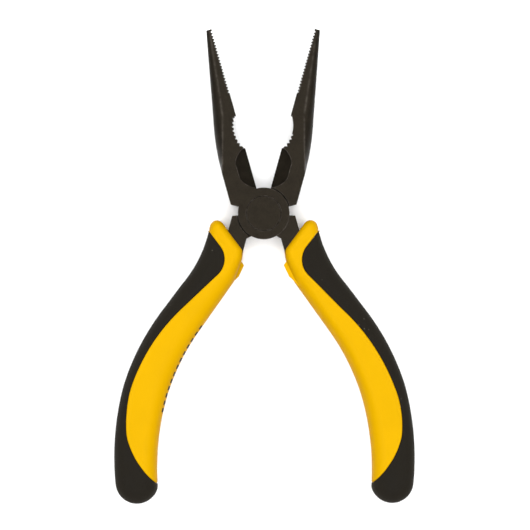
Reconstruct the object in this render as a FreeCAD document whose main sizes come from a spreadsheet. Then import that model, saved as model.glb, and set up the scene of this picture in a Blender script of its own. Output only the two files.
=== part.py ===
"""Lap-joint needle nose pliers: two forged levers on one flush rivet, with two-colour grips.

Frame: the pliers lie flat. +Z is the pivot axis, +Y points to the jaw tips and X lies across.
The origin is on the pivot axis, in the plane of the joint's underside. Lengths are millimetres.

Both levers come from one forging, drawn with the jaws closed and its middle plane at Z = 0: jaw on
the left of the closing plane (X = 0), handle on the right. The back lever is that forging turned
over about Y. Every piece is drawn there, and its Placement opens it and lifts it to its height.
"""
import FreeCAD, Part
import Sketcher
import math
import os
from types import SimpleNamespace

SHEET_ROWS = [
    # joint
    ("joint_radius", 10.3, "radius of each half of the lap joint"),
    ("joint_thickness", 12.0, "both halves of the lap joint together"),
    ("lap_gap", 0.05, "gap between the two joint halves"),
    ("wall_clearance", 0.4, "gap between a joint half and the other lever's curved wall"),
    ("half_opening", 15.6, "angle of each lever from closed, as the pliers lie"),
    ("jaw_stop_angle", 31.0, "angle of the jaw's opening stop above the X axis"),
    ("tang_stop_angle", 20.0, "angle of the tang's opening stop below the X axis"),
    # rivet
    ("rivet_radius", 4.0, "rivet shank"),
    ("rivet_head_radius", 7.0, "countersunk head, flush with the joint"),
    ("rivet_edge", 0.25, "bevel round each head"),
    ("rivet_clearance", 0.04, "radial clearance in the lever that turns on the rivet"),
    # jaws
    ("jaw_length", 76.6, "pivot axis to jaw tip"),
    ("closing_clearance", 0.03, "each jaw face to the closing plane"),
    ("tip_width", 2.25, "one jaw at its tip"),
    ("tip_ridge", 0.9, "width of the flat of one jaw at its tip"),
    ("tip_thickness", 3.2, "jaw tip, along the pivot axis"),
    ("taper_height", 42.0, "pivot axis to the end of the straight taper"),
    ("taper_width", 9.1, "one jaw at the end of the straight taper"),
    ("taper_ridge", 5.2, "width of the flat there"),
    ("taper_thickness", 8.6, "jaw thickness there"),
    ("root_height", 20.0, "pivot axis to the top of the jaw's root"),
    ("root_width", 11.7, "one jaw at its root"),
    ("root_ridge_inset", 0.15, "how far the flat stays inside the width at the root"),
    # gripping faces
    ("tooth_pitch", 1.25, "straight teeth near the tip"),
    ("tooth_depth", 0.85, "straight teeth"),
    ("tooth_crest", 0.05, "flat left between straight teeth"),
    ("tooth_land", 0.5, "jaw tip to the first tooth"),
    ("plain_land", 8.8, "plain face between the straight teeth and the pipe grip"),
    ("recess_radius", 12.5, "pipe grip, radius of its hollow"),
    ("recess_depth", 2.45, "pipe grip, deepest point"),
    ("recess_middle", 33.9, "pivot axis to the middle of the pipe grip"),
    ("recess_half_length", 6.7, "half of the pipe grip's length"),
    ("recess_tooth_pitch", 1.6, "pipe grip teeth"),
    ("recess_tooth_depth", 0.8, "pipe grip teeth"),
    ("recess_tooth_crest", 0.25, "flat left between pipe grip teeth"),
    # cutter
    ("cutter_middle", 19.1, "pivot axis to the middle of the cutting edge"),
    ("cutter_bowl_radius", 9.0, "radius of the ground hollow above each cutting edge"),
    ("cutter_reach", 6.0, "how far the hollow reaches from the cutting edge"),
    ("cutter_wall", 0.9, "depth of the hollow at its far side"),
    ("cutter_edge", 0.5, "flat left on the cutting edge"),
    # tangs
    ("tang_inside", 3.95, "closing plane to the inner side of the tang"),
    ("tang_width", 7.9, "tang where it leaves the joint"),
    ("tang_thickness", 11.0, "tang where it leaves the joint"),
    ("tang_shoulder_width", 1.5, "shoulder from the joint's rim to the tang's inner side, across"),
    ("tang_shoulder_start", 0.2, "how far inside the joint's rim the shoulder starts"),
    ("tang_shoulder_end", 1.2, "joint's rim to the lower end of the shoulder"),
    ("tang_seat", 2.0, "how far the thick part of the tang goes into the grip"),
    ("core_thickness", 6.4, "tang inside the grip"),
    ("core_step", 1.35, "how much the inner side of the tang steps in inside the grip"),
    ("core_overlap", 2.0, "how far the thin part of the tang reaches up into the thick part"),
    ("core_bend_rise", 42.0, "outermost point of the grip up to the tang's bend"),
    ("core_bend_inset", 23.4, "outermost point of the grip in to the tang at its bend"),
    ("core_bend_width", 6.8, "tang at its bend"),
    ("core_curve", 97.0, "radius of the tang below its bend"),
    ("core_end_drop", 18.0, "outermost point of the grip down to the tang's end"),
    ("core_end_inset", 14.6, "outermost point of the grip in to the tang at its end"),
    ("core_end_width", 5.2, "tang at its end"),
    # grips
    ("handle_length", 125.6, "pivot axis to the end of the grips"),
    ("grip_thickness", 15.0, "grip, along the pivot axis"),
    ("grip_edge_radius", 2.2, "rounding of the grip's edges"),
    ("grip_reach", 35.7, "closing plane to the outermost point of the grip"),
    ("grip_reach_rise", 43.6, "end of the grip to its outermost point"),
    ("grip_width", 17.85, "grip at its outermost point"),
    ("grip_end_radius", 8.6, "round end of the grip"),
    ("grip_end_middle", 20.25, "closing plane to the middle of the round end"),
    ("guard_drop", 16.4, "pivot axis to the inner end of the finger guard"),
    ("guard_angle", 37.5, "slope of the finger guard's edge"),
    ("guard_reach", 16.6, "closing plane to the middle of the guard's knob"),
    ("guard_knob_radius", 2.8, "knob at the outer end of the finger guard"),
    ("waist_curve", 50.0, "radius of the hollow for the first finger, below the knob"),
    ("waist_reach", 7.4, "middle of the knob out to the lower end of that hollow"),
    ("waist_drop", 19.7, "guard's inner end down to the lower end of that hollow"),
    ("back_inset", 7.3, "outermost point of the grip in to the start of its round back"),
    ("back_rise", 34.7, "outermost point of the grip up to the start of its round back"),
    ("back_curve", 98.0, "radius of the round back above the outermost point"),
    ("heel_curve", 101.0, "radius of the round back below it"),
    ("palm_heel_curve", 105.0, "radius of the grip's inner side near its end"),
    ("palm_curve", 90.0, "radius of the grip's inner side above the outermost point"),
    ("palm_lean", 5.1, "how far the inner side leans in over that radius"),
    ("palm_rise", 29.0, "outermost point of the grip up to the end of that radius"),
    ("neck_step", 0.3, "tang's inner side out to the grip's neck"),
    ("neck_drop", 13.0, "guard's inner end down to the grip's neck"),
    ("throat_step", 0.5, "tang's inner side in to the narrowest place between the grips"),
    ("throat_drop", 3.6, "guard's inner end down to that place"),
    # soft overmould
    ("seam_rise", 3.8, "guard's inner end up to the seam's start"),
    ("seam_reach", 3.0, "middle of the knob out to the seam's start"),
    ("mouth_inset", 3.7, "middle of the knob in to the seam's first bend"),
    ("mouth_drop", 1.0, "guard's inner end down to the seam's first bend"),
    ("mouth_curve", 8.5, "radius of the seam's bend round the guard"),
    ("mouth_end_inset", 5.3, "middle of the knob in to the end of that bend"),
    ("mouth_end_drop", 12.8, "guard's inner end down to the end of that bend"),
    ("seam_back_inset", 13.4, "outermost point of the grip in to the end of the straight seam"),
    ("seam_back_rise", 33.8, "outermost point of the grip up to the end of the straight seam"),
    ("seam_back_curve", 79.0, "radius of the seam below that"),
    ("seam_belly_inset", 3.5, "outermost point of the grip in to the seam's outermost point"),
    ("seam_belly_drop", 1.3, "outermost point of the grip down to the seam's outermost point"),
    ("seam_belly_curve", 47.0, "radius of the seam below its outermost point"),
    ("seam_heel_inset", 6.6, "outermost point of the grip in to the seam's last bend"),
    ("seam_heel_drop", 18.0, "outermost point of the grip down to the seam's last bend"),
    ("seam_heel_curve", 32.0, "radius of the seam's last bend"),
    ("seam_end_inset", 8.1, "middle of the round end in to the seam's end"),
    ("seam_end_drop", 33.2, "outermost point of the grip down to the seam's end"),
    # hard sleeve
    ("sleeve_wall", 2.0, "hard sleeve between the tang and the soft overmould"),
    ("lug_proud", 1.9, "tang's inner side in to the lug's tip"),
    ("lug_thickness", 3.7, "lug, along the pivot axis"),
    ("lug_offset", 0.7, "middle plane of the grip to the lug"),
    ("lug_drop", 5.7, "guard's inner end down to the lug's tip"),
    ("lug_nose", 1.6, "height of the slope above the lug's tip"),
    ("lug_face", 4.9, "height of the face below the lug's tip"),
    ("lug_face_lean", 0.85, "how far that face leans out"),
    ("lug_curve", 43.0, "radius of the lug's long side"),
    ("lug_length", 10.9, "lug's tip down to its end"),
    ("lug_lean", 4.15, "lug's tip out to its end"),
    ("lug_root", 2.2, "how deep the lug is rooted in the sleeve"),
]
CLEAR = 10  # how far an outline that only cuts or is cut off stands clear of the piece

doc = FreeCAD.newDocument("needle_nose_pliers")
sheet = doc.addObject("Spreadsheet::Sheet", "Sizes")
for row, (alias, number, meaning) in enumerate(SHEET_ROWS, start=1):
    sheet.set(f"A{row}", meaning)
    sheet.set(f"B{row}", str(number))
    sheet.setAlias(f"B{row}", alias)
doc.recompute()


class Size:
    """A length or angle as a number, with the sheet expression that it comes from."""

    def __init__(self, number, text=None):
        self.number = float(number)
        self.text = text or f"({self.number!r})"

    def __add__(self, other):
        other = as_size(other)
        return Size(self.number + other.number, f"({self.text} + {other.text})")

    def __sub__(self, other):
        other = as_size(other)
        return Size(self.number - other.number, f"({self.text} - {other.text})")

    def __mul__(self, other):
        other = as_size(other)
        return Size(self.number * other.number, f"({self.text} * {other.text})")

    def __truediv__(self, other):
        other = as_size(other)
        return Size(self.number / other.number, f"({self.text} / {other.text})")

    def __neg__(self):
        return Size(-self.number, f"(0 - {self.text})")

    def __radd__(self, other):
        return as_size(other) + self

    def __rsub__(self, other):
        return as_size(other) - self

    def __rmul__(self, other):
        return as_size(other) * self


def as_size(value):
    return value if isinstance(value, Size) else Size(value)


def sine(angle):
    return Size(math.sin(math.radians(angle.number)), f"sin({angle.text} * 1 deg)")


def cosine(angle):
    return Size(math.cos(math.radians(angle.number)), f"cos({angle.text} * 1 deg)")


def tangent(angle):
    return sine(angle) / cosine(angle)


s = SimpleNamespace(**{alias: Size(sheet.get(alias), f"Sizes.{alias}") for alias, _, _ in SHEET_ROWS})

half_joint = s.joint_thickness / 2
half_gap = s.lap_gap / 2
tang_outside = s.tang_inside + s.tang_width
guard_slope = tangent(s.guard_angle)
guard_foot = -s.guard_drop
reach_height = -(s.handle_length - s.grip_reach_rise)


def bind(thing, path, size):
    """Tie one property of an object to the sheet."""
    thing.setExpression(path, as_size(size).text)


def new_body(name):
    return doc.addObject("PartDesign::Body", name)


def origin_plane(body, role):
    return next(item for item in body.Origin.OriginFeatures if item.Role == role)


def new_sketch(body, name, role, shift=(0, 0, 0), turn=0):
    """An empty sketch on one of the body's own planes, moved in that plane's own axes."""
    sketch = body.newObject("Sketcher::SketchObject", name)
    sketch.AttachmentSupport = (origin_plane(body, role), [""])
    sketch.MapMode = "FlatFace"
    turned = FreeCAD.Rotation(FreeCAD.Vector(0, 0, 1), as_size(turn).number)
    sketch.AttachmentOffset = FreeCAD.Placement(FreeCAD.Vector(0, 0, 0), turned)
    for letter, distance in zip("xyz", shift):
        bind(sketch, f"AttachmentOffset.Base.{letter}", distance)
    return sketch


def add_side(sketch, start, end, radius):
    """One side of an outline; returns its number and which of its ends is the start and the finish.

    A positive radius has its centre to the left of the way along, a negative one to the right.
    """
    a = FreeCAD.Vector(start[0].number, start[1].number, 0)
    b = FreeCAD.Vector(end[0].number, end[1].number, 0)
    if radius is None:
        return sketch.addGeometry(Part.LineSegment(a, b), False), 1, 2
    along = b - a
    left = FreeCAD.Vector(-along.y, along.x, 0).normalize()
    turn = math.copysign(1, radius.number)
    middle_distance = math.sqrt(radius.number ** 2 - (along.Length / 2) ** 2)
    centre = (a + b) / 2 + left * turn * middle_distance
    first, last = (a, b) if turn > 0 else (b, a)
    angles = [math.atan2(p.y - centre.y, p.x - centre.x) for p in (first, last)]
    circle = Part.Circle(centre, FreeCAD.Vector(0, 0, 1), abs(radius.number))
    number = sketch.addGeometry(Part.ArcOfCircle(circle, *angles), False)
    sketch.addConstraint(Sketcher.Constraint("Radius", number, abs(radius.number)))
    size = radius if turn > 0 else -radius
    bind(sketch, f"Constraints[{sketch.ConstraintCount - 1}]", size)
    return (number, 1, 2) if turn > 0 else (number, 2, 1)


def close_outline(sketch, corners):
    """Draw a closed outline; a corner is (x, y), or (x, y, radius) where its next side is an arc."""
    points = [(as_size(corner[0]), as_size(corner[1])) for corner in corners]
    sides = []
    for index, corner in enumerate(corners):
        radius = as_size(corner[2]) if len(corner) > 2 else None
        after = points[(index + 1) % len(points)]
        sides.append(add_side(sketch, points[index], after, radius))
    for index, (number, start, _) in enumerate(sides):
        before, _, finish = sides[index - 1]
        sketch.addConstraint(Sketcher.Constraint("Coincident", before, finish, number, start))
        for kind, size in zip(("DistanceX", "DistanceY"), points[index]):
            sketch.addConstraint(Sketcher.Constraint(kind, -1, 1, number, start, size.number))
            bind(sketch, f"Constraints[{sketch.ConstraintCount - 1}]", size)
    return sketch


def add_circle(sketch, x, y, radius):
    """Draw a circle by its centre and radius."""
    x, y, radius = as_size(x), as_size(y), as_size(radius)
    centre = FreeCAD.Vector(x.number, y.number, 0)
    up = FreeCAD.Vector(0, 0, 1)
    number = sketch.addGeometry(Part.Circle(centre, up, radius.number), False)
    for kind, size in (("DistanceX", x), ("DistanceY", y)):
        sketch.addConstraint(Sketcher.Constraint(kind, -1, 1, number, 3, size.number))
        bind(sketch, f"Constraints[{sketch.ConstraintCount - 1}]", size)
    sketch.addConstraint(Sketcher.Constraint("Radius", number, radius.number))
    bind(sketch, f"Constraints[{sketch.ConstraintCount - 1}]", radius)
    return sketch


def pad(body, sketch, length, midplane=False):
    """Extrude a sketch; the body keeps what it had and gains this."""
    feature = body.newObject("PartDesign::Pad", sketch.Name + "_pad")
    feature.Profile = sketch
    feature.Midplane = midplane
    bind(feature, "Length", length)
    return feature


def pocket(body, sketch, length, midplane=False):
    """Cut an extruded sketch out of the body."""
    feature = body.newObject("PartDesign::Pocket", sketch.Name + "_pocket")
    feature.Profile = sketch
    feature.Midplane = midplane
    bind(feature, "Length", length)
    return feature


volumes = {}


def checked_volume(body, feature, should_grow):
    """Recompute, and stop if a feature changed nothing or changed it the wrong way."""
    doc.recompute()
    change = feature.Shape.Volume - volumes.get(body.Name, 0)
    if (change > 0) != should_grow or abs(change) < 1e-6:
        raise RuntimeError(f"{feature.Name} changed the volume by {change:.4f}")
    volumes[body.Name] = feature.Shape.Volume
    body.Tip = feature
    return feature


# ---------------------------------------------------------------- levers

def jaw_stations():
    """Places along the jaw from tip to root, each (height, width, flat, half thickness)."""
    stations = [(s.jaw_length, s.tip_width, s.tip_ridge, s.tip_thickness / 2)]
    root_ridge = s.root_width - s.root_ridge_inset
    for share in (0, 0.12, 0.24, 0.38, 0.54, 0.72, 1):
        eased = 1 - (1 - share) ** 2
        stations.append((
            s.taper_height + share * (s.root_height - s.taper_height),
            s.taper_width + eased * (s.root_width - s.taper_width),
            s.taper_ridge + share * (root_ridge - s.taper_ridge),
            (s.taper_thickness + share * (s.joint_thickness - s.taper_thickness)) / 2,
        ))
    return stations


def add_jaw(body, name):
    """Half-round jaw: flat gripping face, flat front and back, and a round outer side."""
    sections = []
    for index, (height, width, flat, half) in enumerate(jaw_stations()):
        sketch = new_sketch(body, f"{name}_jaw_{index}", "XZ_Plane", shift=(0, 0, -height))
        bulge = width - flat
        radius = (half * half + bulge * bulge) / (2 * bulge)
        face = -s.closing_clearance
        close_outline(sketch, [(face, -half), (face, half), (-flat, half, radius), (-flat, -half)])
        sections.append(sketch)
    doc.recompute()
    loft = body.newObject("PartDesign::AdditiveLoft", f"{name}_jaw")
    loft.Profile = sections[0]
    loft.Sections = sections[1:]
    loft.Ruled = True
    return checked_volume(body, loft, True)


def add_joint(body, name, clearance):
    """Jaw root and tang, cut to half thickness round the pivot, then the joint half and its hole."""
    root = new_sketch(body, f"{name}_root", "XY_Plane")
    stop_height = s.root_width * tangent(s.jaw_stop_angle)
    close_outline(root, [
        (-s.closing_clearance, 0),
        (-s.closing_clearance, s.root_height),
        (-s.root_width, s.root_height),
        (-s.root_width, stop_height),
    ])
    checked_volume(body, pad(body, root, s.joint_thickness, midplane=True), True)

    tang = new_sketch(body, f"{name}_tang", "XY_Plane")
    seat = guard_foot - s.tang_seat
    close_outline(tang, [
        (0, 0),
        (s.tang_inside - s.tang_shoulder_width, -s.joint_radius + s.tang_shoulder_start),
        (s.tang_inside, -s.joint_radius - s.tang_shoulder_end),
        (s.tang_inside, seat),
        (tang_outside, seat + s.tang_width * guard_slope),
        (tang_outside, -tang_outside * tangent(s.tang_stop_angle)),
    ])
    checked_volume(body, pad(body, tang, s.tang_thickness, midplane=True), True)

    lap = new_sketch(body, f"{name}_lap", "XY_Plane", shift=(0, 0, half_gap))
    add_circle(lap, 0, 0, s.joint_radius + s.wall_clearance)
    checked_volume(body, pocket(body, lap, s.joint_thickness), False)

    disc = new_sketch(body, f"{name}_disc", "XY_Plane", shift=(0, 0, half_gap))
    add_circle(disc, 0, 0, s.joint_radius)
    checked_volume(body, pad(body, disc, half_joint - half_gap), True)

    hole = new_sketch(body, f"{name}_hole", "XZ_Plane")
    shank = s.rivet_radius + clearance
    close_outline(hole, [(0, -half_joint), (shank, -half_joint)] + rivet_head(clearance, 0))
    groove = body.newObject("PartDesign::Groove", f"{name}_rivet_hole")
    groove.Profile = hole
    groove.ReferenceAxis = (hole, ["V_Axis"])
    groove.Angle = 360
    checked_volume(body, groove, False)


def rivet_head(clearance, bevel):
    """Half section of the rivet's upper head, or of its seat, from the shank to the axis."""
    head = s.rivet_head_radius + clearance
    shank = s.rivet_radius + clearance
    rim = half_joint - s.rivet_edge
    return [(shank, rim - (head - shank)), (head, rim), (head - bevel, half_joint), (0, half_joint)]


def handle_edges():
    """Inner and outer edge of the tang inside the grip, from the guard down to its end."""
    bend_height = reach_height + s.core_bend_rise
    end_height = reach_height - s.core_end_drop
    bend_x = s.grip_reach - s.core_bend_inset
    end_x = s.grip_reach - s.core_end_inset
    inner = [
        (s.tang_inside + s.core_step, guard_foot - s.tang_seat),
        (bend_x, bend_height, -s.core_curve),
        (end_x, end_height),
    ]
    outer = [
        (end_x + s.core_end_width, end_height, s.core_curve),
        (bend_x + s.core_bend_width, bend_height),
        (tang_outside, guard_foot - s.tang_seat),
    ]
    return inner, outer


def add_handle(body, name):
    """The thinner part of the tang, inside the grip."""
    core = new_sketch(body, f"{name}_core", "XY_Plane")
    inner, outer = handle_edges()
    top = guard_foot - s.tang_seat + s.core_overlap
    outer_top = top + s.tang_width * guard_slope
    close_outline(core, inner + outer + [(tang_outside, outer_top), (inner[0][0], top)])
    checked_volume(body, pad(body, core, s.core_thickness, midplane=True), True)


def add_straight_teeth(body, name):
    """Fine teeth from the tip to the plain face, all along the pivot axis."""
    cutter = new_sketch(body, f"{name}_tooth", "XY_Plane")
    middle = s.jaw_length - s.tooth_land - s.tooth_pitch / 2
    outside = s.tooth_depth / 2
    half = (s.tooth_pitch - s.tooth_crest) / 2 * (s.tooth_depth + outside) / s.tooth_depth
    close_outline(cutter, [
        (outside, middle - half),
        (outside, middle + half),
        (-s.tooth_depth, middle),
    ])
    tooth = checked_volume(body, pocket(body, cutter, s.joint_thickness, midplane=True), False)
    pattern = body.newObject("PartDesign::LinearPattern", f"{name}_teeth")
    pattern.Originals = [tooth]
    pattern.Direction = (cutter, ["V_Axis"])
    pattern.Reversed = True
    recess_top = s.recess_middle + s.recess_half_length
    row = s.jaw_length - s.tooth_land - s.plain_land - recess_top
    pattern.setExpression("Occurrences", f"floor({row.text} / Sizes.tooth_pitch)")
    pattern.setExpression("Length", f"(floor({row.text} / Sizes.tooth_pitch) - 1) * Sizes.tooth_pitch")
    return checked_volume(body, pattern, False)


def add_pipe_grip(body, name, tooth_count, first_angle):
    """Hollow behind the plain face, with its own teeth round the arc."""
    recess = new_sketch(body, f"{name}_recess", "XY_Plane")
    centre_x = s.recess_radius - s.recess_depth
    half = s.recess_half_length
    edge = Size(math.sqrt(s.recess_radius.number ** 2 - half.number ** 2),
                f"sqrt(pow({s.recess_radius.text}; 2) - pow({half.text}; 2))")
    low = s.recess_middle - half
    high = s.recess_middle + half
    close_outline(recess, [
        (s.recess_tooth_depth, low),
        (s.recess_tooth_depth, high),
        (centre_x - edge, high, s.recess_radius),
        (centre_x - edge, low),
    ])
    checked_volume(body, pocket(body, recess, s.joint_thickness, midplane=True), False)

    shift = (centre_x, s.recess_middle, 0)
    cutter = new_sketch(body, f"{name}_recess_tooth", "XY_Plane", shift, first_angle)
    floor_x = -s.recess_radius
    inside = s.recess_tooth_depth / 2
    half_floor = (s.recess_tooth_pitch - s.recess_tooth_crest) / 2
    half = half_floor * (s.recess_tooth_depth + inside) / s.recess_tooth_depth
    close_outline(cutter, [
        (floor_x + inside, -half),
        (floor_x + inside, half),
        (floor_x - s.recess_tooth_depth, 0),
    ])
    tooth = checked_volume(body, pocket(body, cutter, s.joint_thickness, midplane=True), False)
    pattern = body.newObject("PartDesign::PolarPattern", f"{name}_recess_teeth")
    pattern.Originals = [tooth]
    pattern.Axis = (cutter, ["N_Axis"])
    pattern.Occurrences = tooth_count
    step = s.recess_tooth_pitch / s.recess_radius
    bind(pattern, "Angle", step * (180 / math.pi) * (tooth_count - 1))
    return checked_volume(body, pattern, False)


def cutter_hollows(name):
    """The ground hollow over a cutting edge, a round bowl with a sloping flat floor, on both faces."""
    bowl = doc.addObject("Part::Cylinder", f"{name}_bowl")
    bind(bowl, "Radius", s.cutter_bowl_radius)
    bind(bowl, "Height", s.joint_thickness)
    bind(bowl, "Placement.Base.x", s.cutter_bowl_radius - s.cutter_reach)
    bind(bowl, "Placement.Base.y", s.cutter_middle)

    # the floor falls from the foot of the bowl's wall, at its far side, to the cutting edge
    fall = half_joint - s.cutter_wall - s.cutter_edge
    floor = doc.addObject("Part::Box", f"{name}_floor")
    floor.Placement.Rotation = FreeCAD.Rotation(FreeCAD.Vector(0, 1, 0), 45)
    floor.setExpression("Placement.Rotation.Angle", f"atan({fall.text} / {s.cutter_reach.text})")
    for side in ("Length", "Width", "Height"):
        bind(floor, side, 4 * s.cutter_bowl_radius)
    bind(floor, "Placement.Base.x", -s.cutter_reach)
    bind(floor, "Placement.Base.y", s.cutter_middle - 2 * s.cutter_bowl_radius)
    bind(floor, "Placement.Base.z", half_joint - s.cutter_wall)

    upper = doc.addObject("Part::Common", f"{name}_upper_hollow")
    upper.Base = bowl
    upper.Tool = floor
    lower = doc.addObject("Part::Mirroring", f"{name}_lower_hollow")
    lower.Source = upper
    lower.Normal = FreeCAD.Vector(0, 0, 1)
    return upper, lower


def cut(name, base, tool):
    """Take one object out of another."""
    result = doc.addObject("Part::Cut", name)
    result.Base = base
    result.Tool = tool
    return result


def name_node(thing, label, placement):
    """Make an object one of the finished pieces, where it lies in the pliers."""
    thing.Label = label
    thing.Placement = placement
    nodes.append(thing)
    return thing


def make_lever(name, clearance, recess_teeth, recess_start, placement):
    """A whole lever as one forging; returns it closed, as drawn, for its grip to be fitted to."""
    body = new_body(f"{name}_forging")
    add_jaw(body, name)
    add_joint(body, name, clearance)
    add_handle(body, name)
    add_straight_teeth(body, name)
    add_pipe_grip(body, name, recess_teeth, recess_start)
    upper, lower = cutter_hollows(name)
    ground = cut(f"{name}_upper_ground", body, upper)
    name_node(cut(f"{name}_ground", ground, lower), name, placement)
    return body


# ---------------------------------------------------------------- rivet

def make_rivet(placement):
    """Flush rivet: a shank between two countersunk heads with bevelled rims."""
    body = new_body("rivet")
    upper = rivet_head(Size(0), s.rivet_edge)
    lower = [(x, -as_size(y)) for x, y in reversed(upper)]
    section = new_sketch(body, "rivet_section", "XZ_Plane")
    close_outline(section, lower + upper)
    turned = body.newObject("PartDesign::Revolution", "rivet_turned")
    turned.Profile = section
    turned.ReferenceAxis = (section, ["V_Axis"])
    turned.Angle = 360
    checked_volume(body, turned, True)
    return name_node(body, "pivot_rivet", placement)


# ---------------------------------------------------------------- grips

def grip_outline():
    """Plan of the whole grip, clockwise from the inner end of the finger guard."""
    end_height = -(s.handle_length - s.grip_end_radius)
    knob = s.guard_knob_radius
    knob_height = guard_foot + (s.guard_reach - s.tang_inside) * guard_slope - knob / cosine(s.guard_angle)
    rise = knob * cosine(s.guard_angle)
    end_x = s.grip_end_middle
    inner_reach = s.grip_reach - s.grip_width
    return [
        (s.tang_inside, guard_foot),
        (s.guard_reach - knob * sine(s.guard_angle), knob_height + rise, -knob),
        (s.guard_reach + knob, knob_height, s.waist_curve),
        (s.guard_reach + s.waist_reach, guard_foot - s.waist_drop),
        (s.grip_reach - s.back_inset, reach_height + s.back_rise, -s.back_curve),
        (s.grip_reach, reach_height, -s.heel_curve),
        (end_x + s.grip_end_radius, end_height, -s.grip_end_radius),
        (end_x, -s.handle_length, -s.grip_end_radius),
        (end_x - s.grip_end_radius, end_height, s.palm_heel_curve),
        (inner_reach, reach_height, s.palm_curve),
        (inner_reach - s.palm_lean, reach_height + s.palm_rise),
        (s.tang_inside + s.neck_step, guard_foot - s.neck_drop),
        (s.tang_inside - s.throat_step, guard_foot - s.throat_drop),
    ]


def soft_outline():
    """Plan of the soft back and end, as far as the seam; beyond the grip it only has to be clear."""
    outside = s.grip_reach + CLEAR
    inside = s.grip_end_middle - s.grip_end_radius - CLEAR
    below = -s.handle_length - CLEAR
    end_height = reach_height - s.seam_end_drop
    return [
        (outside, guard_foot + s.seam_rise),
        (s.guard_reach + s.seam_reach, guard_foot + s.seam_rise),
        (s.guard_reach - s.mouth_inset, guard_foot - s.mouth_drop, s.mouth_curve),
        (s.guard_reach - s.mouth_end_inset, guard_foot - s.mouth_end_drop),
        (s.grip_reach - s.seam_back_inset, reach_height + s.seam_back_rise, -s.seam_back_curve),
        (s.grip_reach - s.seam_belly_inset, reach_height - s.seam_belly_drop, -s.seam_belly_curve),
        (s.grip_reach - s.seam_heel_inset, reach_height - s.seam_heel_drop, -s.seam_heel_curve),
        (s.grip_end_middle - s.seam_end_inset, end_height),
        (inside, end_height),
        (inside, below),
        (outside, below),
    ]


def sleeve_core_outline():
    """Plan of the hard sleeve where the soft overmould covers it."""
    inner, outer = handle_edges()
    wall = s.sleeve_wall
    top = inner[0][1] + wall
    foot = inner[2][1] - wall
    outer = [(corner[0] + wall,) + corner[1:] for corner in outer]
    outer[0] = (outer[0][0], foot) + outer[0][2:]
    outer[2] = (outer[2][0], top)
    inner[0] = (inner[0][0], top)
    inner[2] = (inner[2][0], foot)
    return inner + outer


def lug_outline():
    """Plan of the lug on the inner side, just below the finger guard."""
    tip_x = s.tang_inside - s.lug_proud
    tip = guard_foot - s.lug_drop
    face_x = tip_x + s.lug_face_lean
    end_x = tip_x + s.lug_lean
    return [
        (tip_x, tip),
        (face_x, tip - s.lug_face, -s.lug_curve),
        (end_x, tip - s.lug_length),
        (end_x, tip - s.lug_face),
        (s.tang_inside + s.lug_root, tip + s.lug_nose),
        (s.tang_inside, tip + s.lug_nose),
    ]


def make_block(name, corners, thickness, shift=0, midplane=True):
    """A body that is one extruded outline."""
    body = new_body(name)
    sketch = new_sketch(body, f"{name}_outline", "XY_Plane", shift=(0, 0, shift))
    close_outline(sketch, corners)
    checked_volume(body, pad(body, sketch, thickness, midplane=midplane), True)
    return body


def round_edges(body, radius):
    """Round all edges of the body's top and bottom faces."""
    base = body.Tip
    top = max(vertex.Z for vertex in base.Shape.Vertexes)
    names = []
    for index, edge in enumerate(base.Shape.Edges, start=1):
        if all(abs(abs(vertex.Z) - top) < 1e-6 for vertex in edge.Vertexes):
            names.append(f"Edge{index}")
    fillet = body.newObject("PartDesign::Fillet", f"{body.Name}_rounding")
    fillet.Base = (base, names)
    bind(fillet, "Radius", radius)
    return checked_volume(body, fillet, False)


def make_grip_blanks():
    """The shapes that both grips are cut from: whole grip, soft zone, sleeve core and lug."""
    whole = make_block("grip_whole", grip_outline(), s.grip_thickness)
    round_edges(whole, s.grip_edge_radius)
    zone = make_block("soft_zone", soft_outline(), 2 * s.grip_thickness)
    core = make_block("sleeve_core", sleeve_core_outline(), s.core_thickness + 2 * s.sleeve_wall)
    lug = make_block("sleeve_lug", lug_outline(), s.lug_thickness, shift=s.lug_offset, midplane=False)
    return whole, zone, core, lug


def make_grip(side, blanks, lever, placement):
    """One grip: the hard sleeve fitted to its tang, and the soft overmould round the sleeve."""
    whole, zone, core, lug = blanks
    hard = cut(f"{side}_hard_part", whole, zone)
    joined = doc.addObject("Part::MultiFuse", f"{side}_sleeve_solid")
    joined.Shapes = [hard, core, lug]
    name_node(cut(f"{side}_sleeve", joined, lever), f"{side}_grip_sleeve", placement)
    soft = doc.addObject("Part::Common", f"{side}_soft_part")
    soft.Base = whole
    soft.Tool = zone
    name_node(cut(f"{side}_overmould", soft, core), f"{side}_grip_overmould", placement)


# ---------------------------------------------------------------- assembly

nodes = []
up = FreeCAD.Vector(0, 0, 1)
across = FreeCAD.Vector(0, 1, 0)
lift = FreeCAD.Vector(0, 0, half_joint.number)
opened = FreeCAD.Placement(lift, FreeCAD.Rotation(up, s.half_opening.number))
turned_over = FreeCAD.Rotation(up, -s.half_opening.number).multiply(FreeCAD.Rotation(across, 180))
opened_back = FreeCAD.Placement(lift, turned_over)

front_forging = make_lever("front_lever", s.rivet_clearance, 8, -27, opened)
back_forging = make_lever("back_lever", Size(0), 4, 3, opened_back)
make_rivet(opened_back)
grip_blanks = make_grip_blanks()
make_grip("right", grip_blanks, front_forging, opened)
make_grip("left", grip_blanks, back_forging, opened_back)
doc.recompute()

for item in doc.Objects:
    if "Invalid" in item.State or "Error" in item.State:
        raise RuntimeError(f"{item.Name} did not recompute: {item.State}")

os.makedirs("parts", exist_ok=True)
for node in nodes:
    if node.Shape.isNull() or not node.Shape.isValid():
        raise RuntimeError(f"{node.Label} has no valid shape")
    print(f"{node.Label}: {len(node.Shape.Solids)} solid, {node.Shape.Volume:.0f} mm3")
for node in nodes:
    node.Shape.exportStep(f"parts/{node.Label}.step")
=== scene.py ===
"""Needle nose pliers with two-colour moulded grips, lying flat and part open."""
import math

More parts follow.
